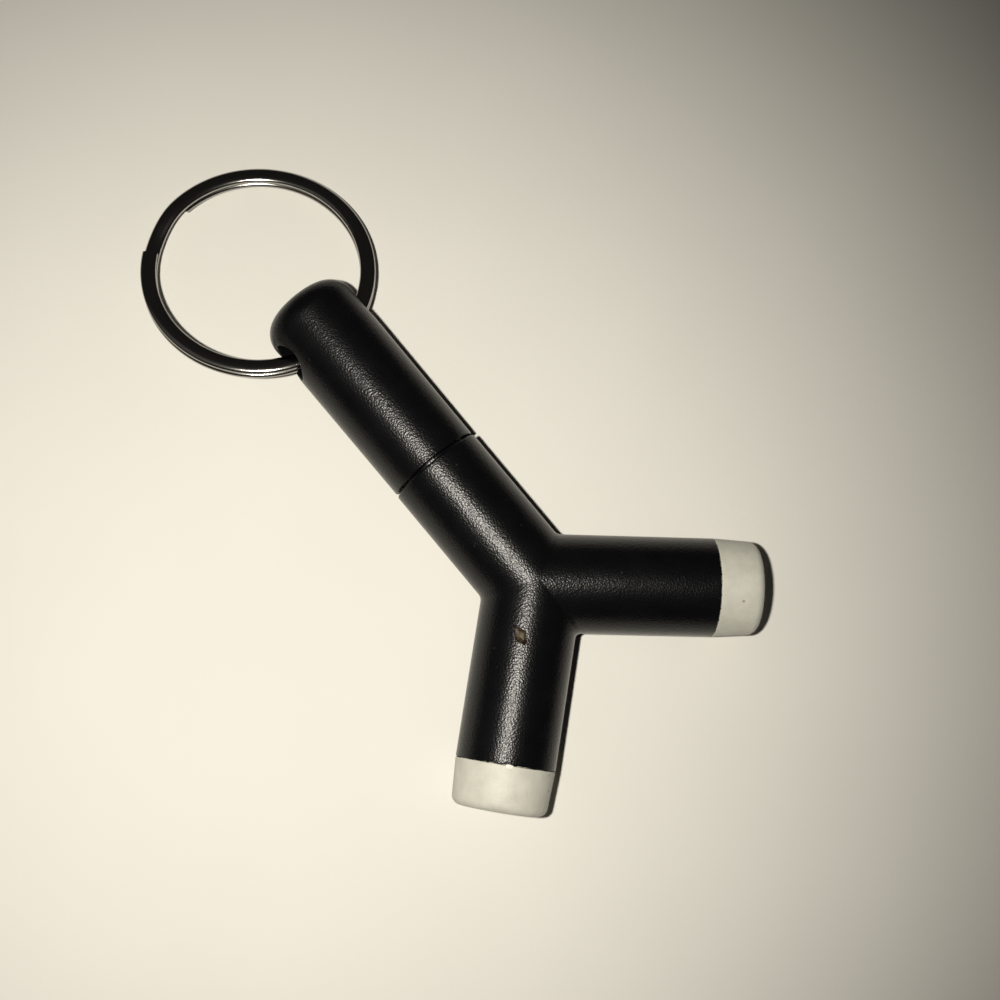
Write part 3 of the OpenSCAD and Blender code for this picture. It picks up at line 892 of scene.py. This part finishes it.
def soft_edge(r, s, a):
    """The collar's back edge swells and shrinks a little, as a hand-trimmed sprue leaves it."""
    at_joint = np.exp(-((s - ARM_END) / 0.35) ** 2) * (r > CORE_R + 0.2)
    wave = np.array([noise.noise(Vector((4 * math.cos(t), 4 * math.sin(t), 8.3))) for t in a.ravel()])
    return at_joint * 0.04 * wave[None, :]


for name, arm in ARMS.items():
    skin = Skin()
    turn(skin, arm, spread(collar_outline, 0.4), ROUND, soft_edge)
    collar = skin.weld("collar_" + name + "_shell", white, 50)
    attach(collar, "body")
    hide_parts("collar_" + name)

# %% Bushes
BUSH_BACK = ARM_END - 1.2
FOOT_R, FOOT_FRONT = SPIGOT_R - SLACK, SPIGOT_BACK - SLACK      # the foot behind the spigot
FLANGE_BACK = MOUTH_S - FLANGE_THICK
bush_outline = rounded([(BORE_R, BUSH_BACK, 0), (FOOT_R, BUSH_BACK, 0), (FOOT_R, FOOT_FRONT, 0),
                        (BUSH_R, FOOT_FRONT, 0), (BUSH_R, FLANGE_BACK, 0),
                        (FLANGE_R, FLANGE_BACK, 0), (FLANGE_R, MOUTH_S, 0.12),
                        (BORE_R, MOUTH_S, 0.22), (BORE_R, BUSH_BACK, 0)], steps=5)
for name, arm in ARMS.items():
    skin = Skin()
    turn(skin, arm, spread(bush_outline, 0.5))
    bush = skin.weld("socket_bush_" + name, nickel, 40)
    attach(bush, "body")
    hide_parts("sleeve_contact_" + name)

# %% [markdown]
# ## The plug
# It hides under the cap, and shows when the cap is pulled: a plated sleeve, a ring
# and a waisted tip, kept apart by two black insulating rings. Each is turned with
# the small radii that the plating needs.

# %% Plug pieces
PLUG_END = SHOULDER + mounts["plug"]["dims"]["length_mm"]
PLUG_BACK = SEAM - 1.4
RING_FRONT, RING_BACK = PLUG_END - 3.9, PLUG_END - 6.2
BAND = 0.7                          # length of an insulating ring
BAND_R = PLUG_R - 0.04
SLOT_R = 1.0                        # inside of the sleeve and the ring
PIN_R = 0.55                        # the tip's pin, which runs back through both
BAND_BORE = 0.6
sleeve_end = RING_BACK - BAND
tip_back = RING_FRONT + BAND
plug_outlines = {
    "plug_sleeve": [(SLOT_R, PLUG_BACK, 0), (PLUG_R, PLUG_BACK, 0), (PLUG_R, sleeve_end, 0.08),
                    (SLOT_R, sleeve_end, 0), (SLOT_R, PLUG_BACK, 0)],
    "plug_ring": [(SLOT_R, RING_BACK, 0), (PLUG_R, RING_BACK, 0.08), (PLUG_R, RING_FRONT, 0.08),
                  (SLOT_R, RING_FRONT, 0), (SLOT_R, RING_BACK, 0)],
    "plug_tip": [(0, PLUG_BACK, 0), (PIN_R, PLUG_BACK, 0), (PIN_R, tip_back, 0),
                 (PLUG_R, tip_back, 0.07), (PLUG_R, tip_back + 0.45, 0.10),
                 (1.22, tip_back + 1.02, 0.25), (PLUG_R + 0.05, tip_back + 1.9, 0.35),
                 (0.62, PLUG_END - 0.05, 0.40), (0, PLUG_END, 0)],
    "plug_front_insulator": [(BAND_BORE, RING_FRONT, 0), (BAND_R, RING_FRONT, 0),
                             (BAND_R, tip_back, 0), (BAND_BORE, tip_back, 0),
                             (BAND_BORE, RING_FRONT, 0)],
    "plug_rear_insulator": [(BAND_BORE, sleeve_end, 0), (BAND_R, sleeve_end, 0),
                            (BAND_R, RING_BACK, 0), (BAND_BORE, RING_BACK, 0),
                            (BAND_BORE, sleeve_end, 0)]}
for name, corners in plug_outlines.items():
    skin = Skin()
    turn(skin, stem, spread(rounded(corners, 6), 0.5))
    is_metal = "insulator" not in name
    made = skin.weld(name + "_turned", nickel if is_metal else dark_plastic, 40)
    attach(made, "body")
    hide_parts(name)

# %% [markdown]
# ## Crumbs at the collar joint
# Where the black plastic met the collar in the mould, tiny tags of it stand on the
# joint. Geometry Nodes scatter them: a circle of points, a few kept at random, and a
# small low blob on each, squashed and turned by a fixed seed.

# %% Crumb tree
PLACES = 90                         # where a crumb may stand, round one joint
SMALLEST, LARGEST = (0.4, 0.4, 0.3), (1.7, 1.7, 0.9)        # stretch of a crumb each way
MOST_TURN = (0.5, 0.5, 6.28)        # radians
FIRST_SEED = 3


def crumb_tree(material):
    """A circle of points, some of them kept, with a squashed blob on each."""
    t = Tree("joint_crumbs")
    radius = t.input("Joint radius", "NodeSocketFloat", 0.005)
    size = t.input("Crumb size", "NodeSocketFloat", 0.0001)
    share = t.input("Share kept", "NodeSocketFloat", 0.4)
    seed = t.input("Seed", "NodeSocketInt", 1)
    circle = t.node("GeometryNodeCurvePrimitiveCircle", {}, {"Resolution": PLACES, "Radius": radius})
    points = t.node("GeometryNodeCurveToPoints", {}, {"Curve": circle, "Count": PLACES})
    drop = t.node("FunctionNodeRandomValue", dict(data_type="BOOLEAN"),
                  {"Probability": t.sum("SUBTRACT", 1.0, share), "Seed": seed}, 3)
    kept = t.node("GeometryNodeDeleteGeometry", {}, {"Geometry": points, "Selection": drop})
    blob = t.node("GeometryNodeMeshIcoSphere", {}, {"Radius": size, "Subdivisions": 2})
    scale = t.node("FunctionNodeRandomValue", dict(data_type="FLOAT_VECTOR"),
                   {0: SMALLEST, 1: LARGEST, "Seed": seed})
    spin = t.node("FunctionNodeRandomValue", dict(data_type="FLOAT_VECTOR"),
                  {0: (0, 0, 0), 1: MOST_TURN, "Seed": seed})
    crumbs = t.node("GeometryNodeInstanceOnPoints", {}, {"Points": kept, "Instance": blob,
                    "Scale": scale, "Rotation": spin})
    solid = t.node("GeometryNodeRealizeInstances", {}, {"Geometry": crumbs})
    t.result(t.node("GeometryNodeSetMaterial", {}, {"Geometry": solid, "Material": material}))
    return t


crumbs_from = crumb_tree(body_black)
for seed, (name, arm) in enumerate(ARMS.items(), FIRST_SEED):
    values = {"Joint radius": (TUBE_R - 0.075) * MM, "Crumb size": 0.07 * MM,
              "Share kept": 0.45, "Seed": seed}
    crumbs = grown("joint_crumbs_" + name, crumbs_from, values, body_black)
    stand = Matrix((arm.side, UP, arm.axis)).transposed().to_4x4()
    stand.translation = CROSS + arm.axis * (ARM_END + 0.02) * MM
    crumbs.data.transform(stand)
    finish_faces(crumbs.data, 60)
    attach(crumbs, "body")

# %% [markdown]
# ## The glint tag
# One larger tag stands on the left joint, right at the top. It is a small flat pebble
# whose near-white colour is a painted highlight and whose smooth surface also catches the
# lamp, so it shines where the rest of the joint is dull.

# %% The glint tag, a painted highlight
def clean_plastic():
    """Smooth and nearly white, with a faint cloud; the near-white is a painted highlight."""
    m = Shader("clean_plastic")
    cloud = m.noise(0.5)
    # painted highlight: this near-white colour stands in for the glint on the joint
    base = m.mix(cloud, colour(0.80, 0.78, 0.70), colour(0.72, 0.70, 0.62))
    return m.surface({"Base Color": base, "Roughness": 0.12 + cloud * 0.05})


TAG_SIDE, TAG_LONG, TAG_HIGH = 0.42, 0.26, 0.07     # half sizes
TAG_AT, TAG_UP = ARM_END + 0.12, TUBE_R - 0.06
around = np.linspace(0, 2 * math.pi, 25)[None, :]
down = np.linspace(0, math.pi, 13)[:, None]
tag_skin = Skin()
tag_skin.grid(left.place(TAG_AT + TAG_LONG * np.sin(down) * np.sin(around),
                         TAG_SIDE * np.sin(down) * np.cos(around),
                         TAG_UP + TAG_HIGH * np.cos(down)))
# the tag's whiteness is a painted highlight; its low roughness also catches the lamp's real glint
tag = tag_skin.weld("joint_tag_left", clean_plastic())
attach(tag, "body")

# %% [markdown]
# ## The inner pieces
# The rest of the CAD nodes keep their own shapes, because they are already true: the
# socket housings, sprung contacts, wires and solder. They only need their finishes.

# %% Finishes on CAD nodes
finishes = {"socket_housing": dark_plastic, "ring_contact": bronze, "tip_contact": bronze,
            "inner_mould": inner, "plug_base": natural, "solder": solder}
finishes.update({"wire_" + pole: finish for pole, finish in wire_finish.items()})
for name, node in frame["nodes"].items():
    for start, material in finishes.items():
        if name.startswith(start):
            for slot in node.material_slots:
                slot.material = material
            print("finish:", name, material.name)

# %% [markdown]
# ## Table
# A pale warm tabletop, one large square. It lies a hair below zero, because the pieces
# rest at zero and two faces in one plane would flicker.

# %% Tabletop
def tabletop():
    """Matt and pale, with a broad cloud in its colour."""
    m = Shader("tabletop")
    cloud = m.noise(18, detail=3.0)
    fibre = m.noise(0.6, detail=3.0, seed=0.1)
    base = m.mix(cloud, colour(0.71, 0.70, 0.65), colour(0.75, 0.74, 0.69))
    return m.surface({"Base Color": base, "Roughness": 0.75,
                      "Normal": m.bump(fibre, 0.05, 0.25)})


TABLE_HALF = 1.2                    # metres
TABLE_DROP = 0.02 * MM
floor_mesh = bpy.data.meshes.new("floor")
square = [(x * TABLE_HALF, y * TABLE_HALF, 0) for x, y in ((-1, -1), (1, -1), (1, 1), (-1, 1))]
floor_mesh.from_pydata(square, [], [(0, 1, 2, 3)])
floor_mesh.materials.append(tabletop())
floor = bpy.data.objects.new("floor", floor_mesh)
bpy.context.scene.collection.objects.link(floor)
floor.location.z = -TABLE_DROP
print("table:", floor.name, 2 * TABLE_HALF, "m wide")

# %% [markdown]
# ## Light
# One small warm lamp stands beside the camera. Its size sets how soft the shadows'
# edges are, and its cone fades to the rim, which leaves the bright pool on the table.
# A weak wide fill and a dim room keep the shadow side from being lost.

# %% Lamps
def lamp(name, kind, at, towards, power, tint, settings):
    """A lamp at one point that looks at another."""
    data = bpy.data.lights.new(name, kind)
    data.energy, data.color = power, tint
    for key, value in settings.items():
        setattr(data, key, value)
    made = bpy.data.objects.new(name, data)
    bpy.context.scene.collection.objects.link(made)
    made.location = at
    made.rotation_euler = (Vector(towards) - Vector(at)).to_track_quat("-Z", "Y").to_euler()


LAMP_OFFSET = Vector((-0.015, 0.002, 0.0))          # to the camera's left, metres
POOL_CENTRE = Vector((-24, -1, 0)) * MM
KEY_WATTS, KEY_TINT = 1.14, (1.0, 0.95, 0.86)
KEY_CONE, KEY_RADIUS = math.radians(84), 2.5 * MM
FILL_AT, FILL_WATTS, FILL_TINT = (-0.35, 0.25, 0.5), 0.06, (1.0, 0.97, 0.92)
ROOM_COLOUR, ROOM_STRENGTH = colour(0.05, 0.048, 0.045), 0.3
lamp_at = CAMERA_AT + camera.matrix_world.to_3x3() @ LAMP_OFFSET
lamp("key", "SPOT", lamp_at, POOL_CENTRE, KEY_WATTS, KEY_TINT,
     dict(spot_size=KEY_CONE, spot_blend=1.0, shadow_soft_size=KEY_RADIUS))
lamp("fill", "AREA", FILL_AT, (0, 0, 0), FILL_WATTS, FILL_TINT, dict(size=0.5))
world = bpy.data.worlds.new("room")
bpy.context.scene.world = world
world.use_nodes = True
background = world.node_tree.nodes["Background"].inputs
background["Color"].default_value = ROOM_COLOUR
background["Strength"].default_value = ROOM_STRENGTH
bpy.context.scene.view_settings.view_transform = "Standard"
print("lamps:", len(bpy.data.lights))
